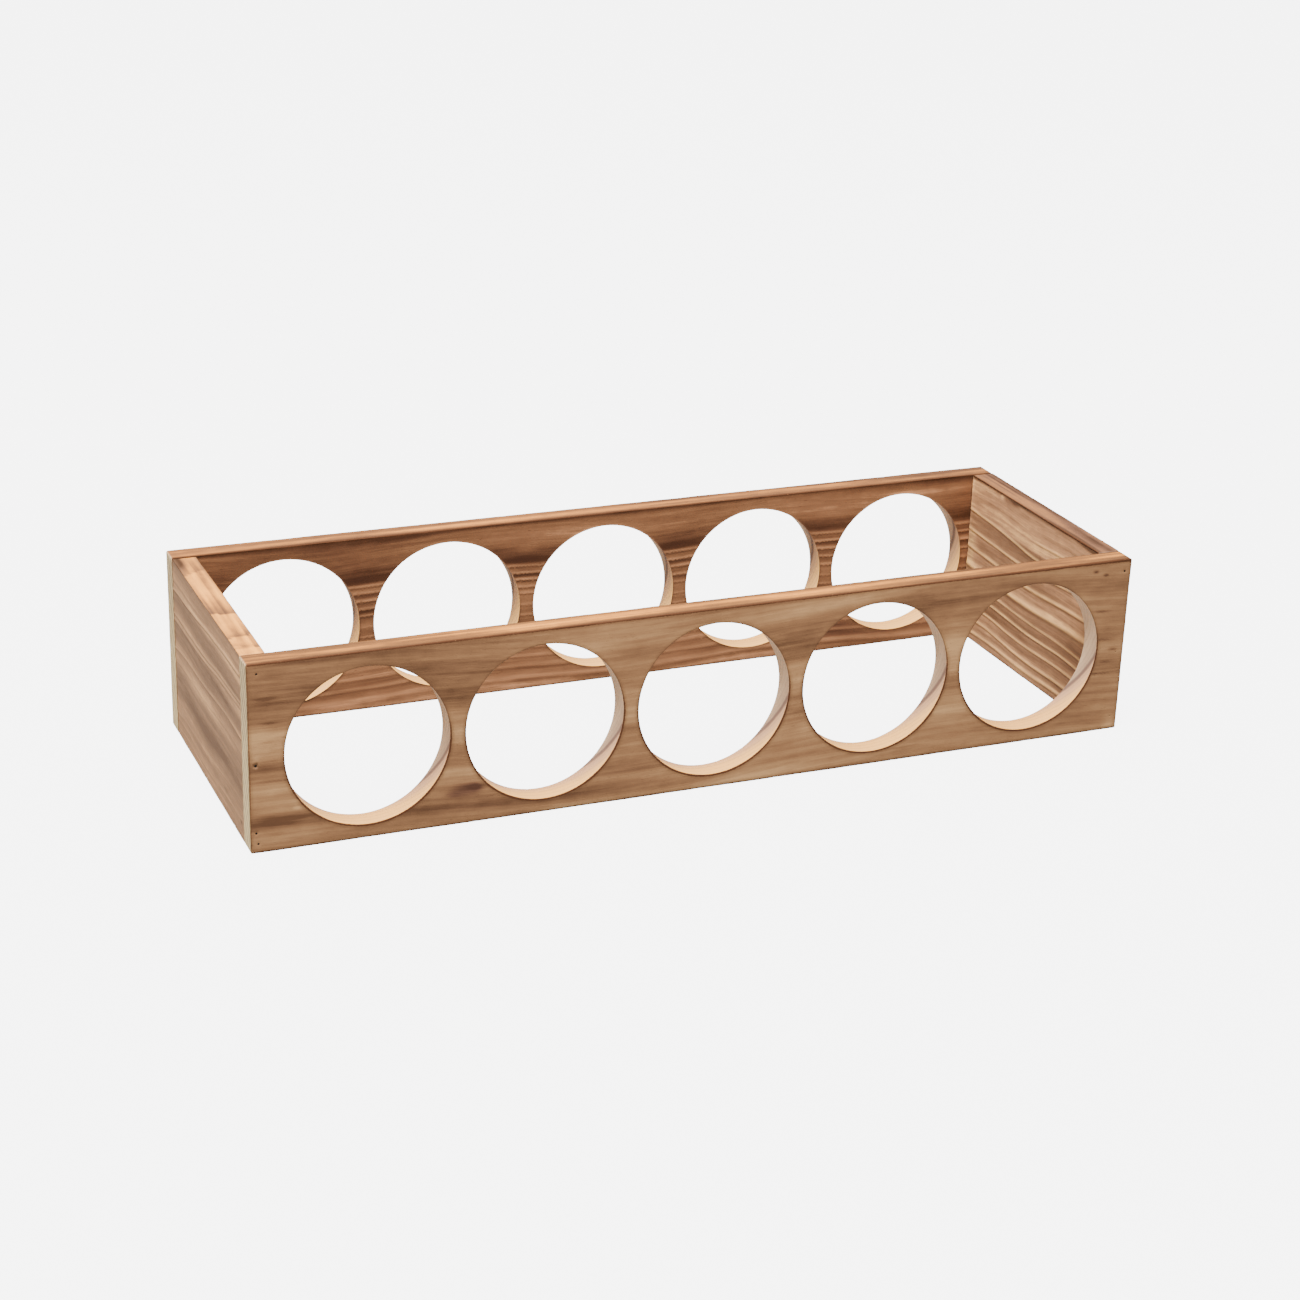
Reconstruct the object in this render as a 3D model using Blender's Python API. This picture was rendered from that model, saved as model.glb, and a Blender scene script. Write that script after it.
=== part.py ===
"""Five-hole bottle rack: an open frame of four boards, butt jointed at the corners and nailed with brads.

Metres, +Z up. The origin is the centre of the footprint, on the surface that the rack stands on.
+X runs along the rack, and +Y from the front panel to the back panel.
"""

import math

import bmesh
import bpy
from mathutils import Matrix, Vector

# Driving dimensions of the frame.
LENGTH = 0.500
DEPTH = 0.172
HEIGHT = 0.102
BOARD = 0.0135
JOINT_GAP = 0.0003
ARRIS = 0.0005

# The rows of holes. Each row is drilled on its own, so neither is exactly centred on its panel. A row's place is
# that of its middle hole: along X, and its height.
HOLE_DIAMETER = 0.086
HOLE_PITCH = 0.0945
HOLE_COUNT = 5
HOLE_SEGMENTS = 64
FRONT_ROW = (0.0004, 0.0506)
BACK_ROW = (-0.0002, 0.0513)

# Brads: wire nails with a small flat head, sunk below the outer face of the long panels.
BRAD_LENGTH = 0.030
BRAD_TIP = 0.0025
SHANK_RADIUS = 0.0005
HEAD_RADIUS = 0.0007
HEAD_THICKNESS = 0.0004
BRAD_SINK = 0.0008
BRAD_CLEARANCE = 0.0002
BRAD_SEGMENTS = 12

# Where each brad goes in, as its distance from the end of the long panel and its height.
BRADS = {
    "front_left": ((0.0052, 0.0966), (0.0036, 0.0478), (0.0031, 0.0111), (0.0040, 0.0052)),
    "front_right": ((0.0042, 0.0950), (0.0048, 0.0470), (0.0045, 0.0080)),
    "back_left": ((0.0048, 0.0940), (0.0040, 0.0500), (0.0044, 0.0090)),
    "back_right": ((0.0043, 0.0955), (0.0050, 0.0490), (0.0040, 0.0085)),
}

# How far a cutter reaches past the face that it cuts through.
OVERRUN = 0.005

# Bevels are made only where faces meet more sharply than this.
SHARP_ANGLE = math.radians(40)

# Colours are linear RGB.
FRONT_WOOD = (0.375, 0.205, 0.112)
BACK_WOOD = (0.325, 0.165, 0.082)
LEFT_WOOD = (0.440, 0.290, 0.200)
RIGHT_WOOD = (0.400, 0.225, 0.125)
STEEL = (0.230, 0.215, 0.200)


def clear_scene():
    for thing in list(bpy.data.objects):
        bpy.data.objects.remove(thing, do_unlink=True)


def make_material(name, colour, roughness, metallic=0.0):
    material = bpy.data.materials.new(name)
    material.use_nodes = True
    shader = material.node_tree.nodes["Principled BSDF"]
    shader.inputs["Base Color"].default_value = (*colour, 1.0)
    shader.inputs["Roughness"].default_value = roughness
    shader.inputs["Metallic"].default_value = metallic
    return material


def finish_mesh(shape, name):
    """Turns a bmesh into a named mesh and frees it."""
    mesh = bpy.data.meshes.new(name)
    shape.to_mesh(mesh)
    shape.free()
    return mesh


def add_object(name, mesh, location=(0.0, 0.0, 0.0), parent=None):
    piece = bpy.data.objects.new(name, mesh)
    piece.location = location
    piece.parent = parent
    bpy.context.scene.collection.objects.link(piece)
    return piece


def add_turned(shape, profile, segments, place):
    """Adds a solid turned about +Z from (radius, height) points, top to bottom, with both ends on the axis."""
    top, *turned, bottom = profile
    angles = [math.tau * step / segments for step in range(segments)]
    head = shape.verts.new(place @ Vector((0.0, 0.0, top[1])))
    foot = shape.verts.new(place @ Vector((0.0, 0.0, bottom[1])))
    rings = []
    for radius, height in turned:
        ring = [Vector((radius * math.cos(angle), radius * math.sin(angle), height)) for angle in angles]
        rings.append([shape.verts.new(place @ point) for point in ring])
    for here in range(segments):
        after = (here + 1) % segments
        shape.faces.new((head, rings[0][here], rings[0][after]))
        for upper, lower in zip(rings, rings[1:]):
            shape.faces.new((upper[here], lower[here], lower[after], upper[after]))
        shape.faces.new((foot, rings[-1][after], rings[-1][here]))


def make_cutter(name, profile, segments, places):
    """One hidden object that holds the same turned solid at each of these places."""
    shape = bmesh.new()
    for place in places:
        add_turned(shape, profile, segments, place)
    cutter = add_object(name, finish_mesh(shape, name))
    cutter.hide_render = True
    cutter.display_type = "WIRE"
    return cutter


def cut(piece, cutter):
    boolean = piece.modifiers.new(cutter.name, "BOOLEAN")
    boolean.operation = "DIFFERENCE"
    boolean.solver = "EXACT"
    boolean.object = cutter


def ease_edges(piece):
    bevel = piece.modifiers.new("eased_edges", "BEVEL")
    bevel.width = ARRIS
    bevel.segments = 1
    bevel.limit_method = "ANGLE"
    bevel.angle_limit = SHARP_ANGLE


def make_board(name, size, location, material, rack, hole_row, brad_holes):
    """A board with eased edges, its row of holes if it has one, and the brads' pilot holes."""
    shape = bmesh.new()
    bmesh.ops.create_cube(shape, size=1.0, matrix=Matrix.Diagonal((*size, 1.0)))
    board = add_object(name, finish_mesh(shape, name), location, rack)
    board.data.materials.append(material)
    if hole_row:
        cut(board, hole_row)
    ease_edges(board)
    cut(board, brad_holes)


def make_hole_row(name, face_y, row):
    """The cutter for one long panel's holes, which run along Y through the panel centred on face_y."""
    middle_x, middle_z = row
    reach = BOARD / 2 + OVERRUN
    radius = HOLE_DIAMETER / 2
    profile = ((0.0, reach), (radius, reach), (radius, -reach), (0.0, -reach))
    along_y = Matrix.Rotation(math.pi / 2, 4, "X")
    middle = (HOLE_COUNT - 1) / 2
    places = [
        Matrix.Translation((middle_x + (number - middle) * HOLE_PITCH, face_y, middle_z)) @ along_y
        for number in range(HOLE_COUNT)
    ]
    return make_cutter(name, profile, HOLE_SEGMENTS, places)


def brad_place(joint, from_end, height):
    """A brad's own +Z points out of the panel, and its origin is the middle of its head's outer face."""
    side = -1 if joint.startswith("front") else 1
    end = -1 if joint.endswith("left") else 1
    location = (end * (LENGTH / 2 - from_end), side * (DEPTH / 2 - BRAD_SINK), height)
    return Matrix.Translation(location) @ Matrix.Rotation(-side * math.pi / 2, 4, "X")


def make_brad_holes():
    """The cutter for all the pilot holes: each follows its brad, with clearance all round."""
    head = HEAD_RADIUS + BRAD_CLEARANCE
    shank = SHANK_RADIUS + BRAD_CLEARANCE
    mouth = BRAD_SINK + OVERRUN
    seat = -HEAD_THICKNESS - BRAD_CLEARANCE
    profile = (
        (0.0, mouth),
        (head, mouth),
        (head, seat),
        (shank, seat),
        (shank, -BRAD_LENGTH),
        (0.0, -BRAD_LENGTH - BRAD_CLEARANCE),
    )
    places = [brad_place(joint, *point) for joint, points in BRADS.items() for point in points]
    return make_cutter("brad_holes_cutter", profile, BRAD_SEGMENTS, places)


def make_brad_mesh(material):
    profile = (
        (0.0, 0.0),
        (HEAD_RADIUS, 0.0),
        (HEAD_RADIUS, -HEAD_THICKNESS),
        (SHANK_RADIUS, -HEAD_THICKNESS),
        (SHANK_RADIUS, BRAD_TIP - BRAD_LENGTH),
        (0.0, -BRAD_LENGTH),
    )
    shape = bmesh.new()
    add_turned(shape, profile, BRAD_SEGMENTS, Matrix.Identity(4))
    mesh = finish_mesh(shape, "brad")
    mesh.shade_smooth()
    mesh.set_sharp_from_angle(angle=SHARP_ANGLE)
    mesh.materials.append(material)
    return mesh


def make_brads(rack):
    """The brads share one mesh, and each is its own object."""
    mesh = make_brad_mesh(make_material("brad_steel", STEEL, 0.45, 1.0))
    for joint, points in BRADS.items():
        for number, point in enumerate(points, start=1):
            brad = add_object(f"brad_{joint}_{number}", mesh, parent=rack)
            brad.matrix_local = brad_place(joint, *point)


def make_boards(rack):
    brad_holes = make_brad_holes()
    long_size = (LENGTH, BOARD, HEIGHT)
    short_size = (BOARD, DEPTH - 2 * (BOARD + JOINT_GAP), HEIGHT)
    face_y = (DEPTH - BOARD) / 2
    end_x = (LENGTH - BOARD) / 2
    front_row = make_hole_row("front_holes_cutter", -face_y, FRONT_ROW)
    back_row = make_hole_row("back_holes_cutter", face_y, BACK_ROW)
    boards = (
        ("front_panel", long_size, 0.0, -face_y, FRONT_WOOD, front_row),
        ("back_panel", long_size, 0.0, face_y, BACK_WOOD, back_row),
        ("left_side_panel", short_size, -end_x, 0.0, LEFT_WOOD, None),
        ("right_side_panel", short_size, end_x, 0.0, RIGHT_WOOD, None),
    )
    for name, size, x, y, colour, hole_row in boards:
        material = make_material(f"{name}_wood", colour, 0.6)
        make_board(name, size, (x, y, HEIGHT / 2), material, rack, hole_row, brad_holes)


clear_scene()
bottle_rack = add_object("bottle_rack", None)
make_boards(bottle_rack)
make_brads(bottle_rack)
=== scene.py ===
"""Looks of the five-hole bottle rack: four scorched, brushed softwood boards and the brads that join them.

Metres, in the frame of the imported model. A board's own coordinates are u along the grain, w through its
thickness from its outer face, and z up. Its growth rings are one height field, the grain height: the same field
raises the ridges of the surface and places the colour of the wood.
"""

import math

import bmesh
import bpy
import numpy as np
from mathutils import Matrix, Vector
from mathutils.geometry import delaunay_2d_cdt


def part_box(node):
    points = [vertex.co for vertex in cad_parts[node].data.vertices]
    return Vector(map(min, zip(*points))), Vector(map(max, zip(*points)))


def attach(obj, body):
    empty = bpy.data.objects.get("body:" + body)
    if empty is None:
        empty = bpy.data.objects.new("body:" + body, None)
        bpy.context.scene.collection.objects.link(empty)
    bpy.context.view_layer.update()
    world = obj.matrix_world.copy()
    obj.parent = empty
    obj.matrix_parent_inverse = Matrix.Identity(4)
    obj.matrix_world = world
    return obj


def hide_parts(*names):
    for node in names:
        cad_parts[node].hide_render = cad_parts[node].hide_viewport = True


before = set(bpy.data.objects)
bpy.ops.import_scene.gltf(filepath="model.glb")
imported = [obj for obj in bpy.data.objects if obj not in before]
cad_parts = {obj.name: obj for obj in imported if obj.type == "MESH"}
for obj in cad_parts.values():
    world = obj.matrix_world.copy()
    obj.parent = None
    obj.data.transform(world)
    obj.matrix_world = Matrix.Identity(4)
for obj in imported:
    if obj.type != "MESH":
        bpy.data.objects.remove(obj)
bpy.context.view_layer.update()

MM = 0.001

# Eased edges of the boards.
ARRIS = 0.55 * MM
ARRIS_STEPS = 4
CORNER_RADIUS = 1.0 * MM
CORNER_STEPS = 4
ARRIS_LIMIT = 0.85 * CORNER_RADIUS
EDGE_WANDER = 0.12 * MM
EDGE_WAVES = ((45 * MM, 0.6), (9 * MM, 0.4))

# Wear of the arrises. Along the outline, wear and chips change over these lengths. Round a hole, theirs are
# the cells in a radian and a shift. An arris has a middle width, an amount of wear and of chips, and where
# chips start.
OUTLINE_WEAR = 14 * MM
OUTLINE_CHIPS = 3.0 * MM
OUTLINE_ARRIS = (1.0, 0.3, 3.0, 0.72)
HOLE_WEAR = (4, 50)
HOLE_CHIPS = (16, 90)
HOLE_ARRIS = (0.8, 0.25, 2.5, 0.75)

# Mesh steps: along the grain and across it on the faces, round a hole, and through the thickness. The rings
# round a hole start past its arris at its widest, and the grid keeps clear of the edges, rings and pilot
# holes.
LONG_STEP = (2.2 * MM, 0.5 * MM)
SHORT_STEP = (2.0 * MM, 0.36 * MM)
HOLE_POINTS = 220
HOLE_RINGS = (0.25 * MM, 0.6 * MM, 1.1 * MM, 1.8 * MM)
PAST_ARRIS = ARRIS * 1.9
GRID_MARGIN = ARRIS * 3.2
PILOT_MARGIN = 1.7 * MM
WALL_STEPS = 12
MERGE_DISTANCE = 1e-7

# Brads and their pilot holes. The shank's radius and the head's thickness follow from the head's radius.
SHANK_SHARE = 0.67
HEAD_SHARE = 0.55
PILOT_CLEARANCE = 0.1 * MM
PILOT_POINTS = 20
HEAD_SINK = 0.8 * MM

# The wood has closed over the brads' heads. A pilot hole's mouth is this wide, as a radius, under a thin lip.
# Behind the lip come a chamber for the head and a run for the shank, which are given from the head's outer
# face.
MOUTHS = {
    "brad_front_left_1": 0.56 * MM,
    "brad_front_left_2": 0.72 * MM,
    "brad_front_left_3": 0.62 * MM,
    "brad_front_left_4": 0.60 * MM,
    "brad_front_right_1": 0.62 * MM,
    "brad_front_right_2": 0.16 * MM,
    "brad_front_right_3": 0.16 * MM,
}
COMMON_MOUTH = 0.35 * MM
LIP_RIM = 0.70 * MM
LIP_DEPTH = 0.30 * MM
LIP_FALL = 0.03 * MM
CHAMBER_FRONT = 0.15 * MM
CHAMBER_BACK = 0.7 * MM
RUN_START = 0.8 * MM
BACK_LIP = 0.3 * MM
RUN_PAST_TIP = 0.3 * MM
RUN_PAST_END = 1.0 * MM

# A point is on a pilot hole's wall if it is this far from the outer face, the inner face and the chamber's
# radius.
PILOT_FRONT = 0.02 * MM
PILOT_BACK = 0.1 * MM
PILOT_REACH = 0.05 * MM

# The brads. A head's profile is given as shares of its radius, and depths in metres or as shares of its
# thickness.
BRAD_SEGMENTS = 32
BRAD_TIP = 2.5 * MM
BRAD_SHARP = math.radians(35)
DIMPLE_DEPTH = 0.14 * MM
DIMPLE = ((0.25, 0.10 * MM), (0.42, 0.02 * MM), (0.8, 0.0))
HEAD_EDGE = ((1.0, 0.3), (1.0, 0.7), (0.9, 1.0))
HEAD_NECK = 1.15
GRIP_RINGS = 4
GRIP_PITCH = 0.5 * MM
GRIP_HALF = 0.12 * MM
GRIP_SHARE = 0.9

# How the holes are found in the CAD panels: only points this far from the faces and from the edges are on a
# wall, two walls are at least this far apart, and a smaller hole is a pilot hole.
WALL_INSET = 0.3 * MM
EDGE_INSET = 1.0 * MM
HOLE_SPACING = 6.0 * MM
LEAST_HOLE_RADIUS = 10.0 * MM


# ----------------------------------------
# Figure of the wood, in millimetres. u is measured from the board's middle.
#
# bands:   (grain height, tone). Tone 0 is the board's middle colour, -1 is dark and +1 is light.
# fade:    how strong the bands are at the low end and the high end of the board, if they aren't even.
# rings:   raised latewood lines: heights at the low end, middle and high end, width, strength, and the stretch
#          that the line covers, as shares of the half length, if it is not the whole board. A ridge's pale
#          colour is partly the latewood's own and partly a painted highlight, and the dark colour under it is
#          painted shadow.
# patches: soft spots: u, z, half length, half height, tone, and perhaps a tint from -1, greenish grey, to +1,
#          purple.
# relief:  how far the soft wood is brushed down below the ridges.

WHOLE = (-1.2, 1.2)
EVEN = (1.0, 1.0)

FRONT_OUTER = {
    "bands": (
        (0, 0.1), (5, 0.1), (11, -0.45), (16, -0.1), (22, 0.1), (28, 0.4), (35, 0.1), (42, -0.5), (47, 0.1),
        (53, 0.5), (60, 0.55), (67, 0.0), (75, -0.35), (84, -0.3), (92, -0.1), (102, 0.0),
    ),
    "fade": (1.0, 0.4),
    "rings": (),
    "patches": (
        (-205, 86, 60, 15, -0.25, 0.1), (-140, 84, 34, 12, -0.25, 0.1), (-175, 99, 75, 4, -0.55),
        (180, 98, 60, 5, 0.45), (60, 3, 150, 5, 0.35), (-78, 3, 22, 4, 0.4), (142, 51, 6, 10, 0.35),
        (-241, 79, 5, 0.8, -0.8, 0.2), (-239, 66, 4, 0.8, -0.7, 0.2), (-240, 56, 4, 0.7, -0.6, 0.2),
        (-230, 35, 15, 0.7, -0.8, 0.1), (234, 72, 5, 0.7, -0.7, 0.2), (236, 55, 6, 0.7, -0.8, 0.2),
        (243, 49, 3, 0.8, -0.9, 0.2), (239, 42, 4, 0.7, -0.6, 0.2), (232, 35, 14, 0.6, -0.9, 0.2),
        (-213, 79, 1.6, 0.8, 1.0), (-226, 19, 1.6, 0.8, 1.0), (-217, 58, 1.2, 0.7, -1.2, 0.2),
        (-206, 21, 1.2, 0.7, -1.2, 0.2), (227.6, 95.6, 1.4, 0.7, -1.6, 0.3),
        (234.1, 93.5, 1.4, 0.7, -1.4, 0.3), (-136, 20.5, 8.5, 4.5, -0.5, 0.9),
        (-132, 21.5, 3.0, 2.0, -0.5, 0.8), (-75, 3.5, 18, 3, 0.4), (-144, 18, 5, 2, -0.35, 0.6),
        (-140, 11, 12, 3, 0.25), (-142, 89, 12, 5, 0.35), (-150, 10, 60, 5, -0.3, 0.2),
        (-185, 3, 50, 3, -0.3, 0.2), (-75, 92, 34, 9, 0.35), (-47, 70, 12, 10, 0.2), (-47, 88, 14, 6, -0.25),
        (-50, 24, 34, 8, -0.35, 0.3), (0, 94, 60, 6, 0.25), (48, 76, 16, 8, -0.3, 0.1), (47, 89, 14, 5, 0.2),
        (60, 12, 60, 9, 0.4), (75, 94, 34, 6, 0.35), (118, 88, 22, 8, -0.4, 0.1),
        (172, 92, 30, 4, -0.35, 0.1), (142, 62, 9, 9, 0.3), (135, 20, 22, 6, 0.45, -0.2),
        (217, 76, 12, 8, 0.55, -0.1), (216, 24, 24, 8, -0.3, 0.3), (238, 57, 13, 6, -0.55),
        (238, 29, 14, 3.5, -0.4), (238, 77, 10, 4, 0.3), (238, 15, 14, 5, 0.3), (-238, 76, 12, 3, -0.4),
        (-236, 12, 14, 3, -0.5), (-232, 18, 18, 2.4, 0.1), (-236, 81.5, 22, 4, 0.4), (-238, 92, 14, 4, -0.3),
        (246, 3, 6, 5, 0.7), (-243, 58, 9, 6, 0.35), (-241, 42, 9, 2.2, -0.5, 0.2), (-238, 28, 10, 4, 0.3),
        (-246.2, 47.8, 1.8, 1.6, 0.3), (20, 4, 30, 3, 0.3), (-20, 8, 30, 3, -0.3, 0.2),
        (180, 5, 50, 3, -0.2, 0.1),
    ),
    "relief": 0.07,
}
BACK_INNER = {
    "bands": (
        (0, 0.9), (4, 0.6), (9, 0.1), (16, 0.2), (22, 0.3), (30, 0.2), (40, 0.0), (48, 0.1), (54, 0.3),
        (60, -0.5), (64, 0.2), (68.5, -0.8), (73, 0.1), (78, -1.0), (82, -0.5), (86, 0.0), (93, 0.1),
        (99, 0.0), (102, -0.6),
    ),
    "rings": (
        (74, 75, 73, 1.0, 0.7), (70, 70.8, 68, 1.0, 0.9), (65, 66.4, 62, 1.2, 1.0), (60, 61.5, 56, 1.0, 0.9),
        (56, 57, 50, 1.0, 0.7), (49, 50, 44, 1.0, 0.5), (43, 44, 39, 0.9, 0.5), (36, 37, 33, 0.9, 0.4),
        (30, 31, 28, 0.9, 0.4), (24, 24.5, 22, 1.3, 0.4), (19, 19.5, 17, 1.2, 0.45), (13, 13.5, 11, 1.4, 0.5),
        (6, 6.2, 4.5, 2.2, 0.6),
    ),
    "patches": (
        (-146, 79, 16, 2.4, -0.6, 0.6), (-50, 78.5, 18, 2.6, -0.6, 0.6), (-47, 59, 10, 3.2, 0.9),
        (-47, 69, 10, 5.5, -0.8, 0.2), (-47, 84, 8, 3, 0.55), (-161, 4, 14, 4, 0.6), (-137, 9, 14, 5, 0.25),
        (172, 4.5, 26, 4, -0.6), (47, 9.6, 12, 5, 0.25), (-142, 60, 10, 3, -0.8), (-142, 84, 8, 3, -0.5),
        (-142, 76, 8, 3, 0.35), (200, 97, 24, 6, 0.7), (142, 84, 12, 3, 0.35), (44, 79, 18, 2.8, -0.7, 0.6),
        (138, 77, 16, 2.4, -0.15, 0.3), (-190, 94, 60, 8, -0.35, 0.2), (0, 93, 50, 7, 0.3),
        (100, 93, 40, 7, 0.3), (180, 92, 34, 7, 0.2), (232, 60, 8, 26, -0.25, 0.1),
        (140, 12, 34, 8, -0.5, 0.4), (44, 46, 12, 8, 0.3, -0.1), (-120, 100, 30, 1.5, -0.8, 0.2),
    ),
    "relief": 0.28,
}
RIGHT_INNER = {
    "bands": (
        (0, 0.3), (5, 0.2), (8, -0.1), (12, 0.2), (15, -0.1), (20, 0.1), (24, -0.5), (29, -0.4), (34, -0.2),
        (38, -0.1), (42, -0.1), (46, 0.3), (50, 0.1), (54, 0.4), (57, 0.0), (62, -0.1), (67, 0.2), (72, -0.3),
        (77, -0.2), (82, 0.4), (88, 0.5), (95, 0.5), (99, 0.3), (102, -0.5),
    ),
    "rings": (
        (72, 76.2, 81.5, 1.1, 0.85), (86, 86, 88, 1.0, 0.7, -0.55, -0.1), (71.5, 66.8, 69, 1.1, 0.9),
        (58.5, 55.2, 58.5, 1.5, 0.9), (46.5, 44.0, 47, 2.4, 1.0), (33.7, 35.0, 36.5, 0.9, 0.7),
        (26.8, 28.2, 29.6, 1.0, 1.1), (19.0, 19.8, 21, 1.0, 0.85), (9.6, 11.2, 13.6, 1.2, 0.85),
        (4.2, 4.5, 4.8, 1.4, 0.8),
    ),
    "patches": (
        (22, 100.3, 4.6, 1.3, -1.5, 0.6), (31, 99.5, 8.0, 3.2, -0.45, 0.3), (36, 99.0, 3.0, 1.6, 0.6),
        (-62, 100.4, 7.0, 0.9, -1.9, 0.3), (-70, 99.6, 2.0, 1.2, -1.2, 0.6), (68, 60, 6, 16, 0.5, -0.8),
        (-10, 96, 18, 4, 0.15), (50, 94, 24, 5, -0.15, 0.3), (-40, 44, 30, 2.4, 0.3, -0.7),
        (0, 55, 30, 1.8, 0.2, -0.5), (0, 8, 60, 3, 0.2, -0.3), (-20, 72, 20, 4, -0.3, 0.1),
    ),
    "relief": 0.42,
}
LEFT_OUTER = {
    "bands": (
        (0, 0.2), (8, 0.25), (18, 0.2), (24, -0.1), (29, -0.75), (35, -0.4), (41, -0.1), (47, 0.3), (52, 0.3),
        (56, 0.1), (61, -0.4), (66, -0.3), (70, 0.6), (73, 0.5), (77, -0.4), (84, -0.3), (88, 0.8), (91, 0.3),
        (96, 0.0), (102, -0.3),
    ),
    "rings": (
        (91.5, 88.2, 85, 1.1, 1.0), (76.5, 72.6, 71, 1.0, 0.7), (73.8, 69.8, 67.6, 1.2, 0.6),
        (57, 55.7, 51, 0.9, 0.7), (49.5, 47, 43.5, 0.8, 0.35), (96, 93, 90.5, 0.7, 0.35, 0.0, 1.2),
        (22, 17, 13, 0.8, 0.2), (11, 8, 4, 0.8, 0.2),
    ),
    "patches": (
        (-35, 13, 5, 1.2, -0.5), (-66.5, 9.3, 1.6, 1.0, -1.6), (30, 46, 30, 5, 0.35, -0.2),
        (-30, 64, 40, 3, -0.3), (0, 28, 60, 4, -0.4, 0.2), (10, 14, 60, 6, 0.15, 0.3),
    ),
    "relief": 0.32,
}
FRONT_INNER = {
    "bands": (
        (0, 0.1), (10, -0.4), (20, 0.1), (30, -0.3), (42, 0.3), (55, -0.3), (66, 0.2), (78, -0.5), (90, 0.1),
        (102, -0.2),
    ),
    "fade": (0.9, 0.9),
    "rings": (
        (9, 7, 9, 1.0, 0.6), (19, 17, 20, 0.9, 0.7), (30, 28, 30, 0.9, 0.5), (47, 44, 46, 1.1, 0.7),
        (60, 58, 61, 0.9, 0.6), (72, 69, 73, 1.0, 0.7), (84, 82, 86, 0.9, 0.5), (95, 94, 98, 0.8, 0.4),
    ),
    "patches": ((-100, 92, 60, 6, -0.3, 0.2), (60, 8, 50, 5, 0.3), (150, 90, 40, 7, 0.3)),
    "relief": 0.14,
}
BACK_OUTER = {
    "bands": (
        (0, 0.0), (9, 0.3), (18, -0.3), (30, 0.1), (44, -0.4), (52, 0.3), (64, 0.1), (76, -0.4), (88, 0.2),
        (102, 0.0),
    ),
    "fade": (0.6, 0.9),
    "rings": ((14, 12, 16, 0.9, 0.4), (47, 49, 44, 0.9, 0.4), (86, 90, 88, 0.8, 0.4)),
    "patches": (
        (0, 51, 600, 120, 0.45), (-180, 10, 50, 6, -0.4, 0.2), (-60, 92, 50, 7, 0.35), (70, 10, 50, 6, 0.3),
        (150, 91, 50, 7, -0.35, 0.3), (215, 50, 20, 12, 0.3), (-238, 40, 10, 12, -0.3, 0.1),
    ),
    "relief": 0.09,
}
LEFT_INNER = {
    "bands": (
        (0, 0.1), (12, -0.3), (24, 0.2), (38, -0.4), (50, 0.3), (62, -0.3), (74, 0.2), (88, 0.5), (102, 0.2),
    ),
    "rings": (
        (12, 9, 8, 0.9, 0.6), (26, 23, 21, 1.1, 0.8), (39, 36, 35, 0.9, 0.6), (54, 51, 51, 1.6, 0.8),
        (66, 64, 65, 0.9, 0.7), (80, 77, 76, 1.0, 0.6),
    ),
    "patches": ((20, 92, 40, 6, 0.2), (-40, 30, 20, 6, -0.3, 0.3)),
    "relief": 0.22,
}
RIGHT_OUTER = {
    "bands": (
        (0, 0.0), (10, 0.3), (22, -0.4), (34, 0.2), (48, -0.3), (60, 0.3), (72, -0.5), (86, 0.2), (102, -0.1),
    ),
    "rings": (
        (14, 17, 15, 1.0, 0.7), (28, 31, 30, 0.9, 0.6), (42, 45, 42, 1.3, 0.8), (55, 59, 57, 0.9, 0.6),
        (68, 72, 69, 1.0, 0.8), (83, 87, 86, 0.9, 0.6),
    ),
    "patches": ((-30, 93, 30, 5, 0.3), (40, 24, 24, 5, -0.4, 0.3), (30, 66, 4.5, 3, -0.8, 0.4)),
    "relief": 0.24,
}
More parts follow.
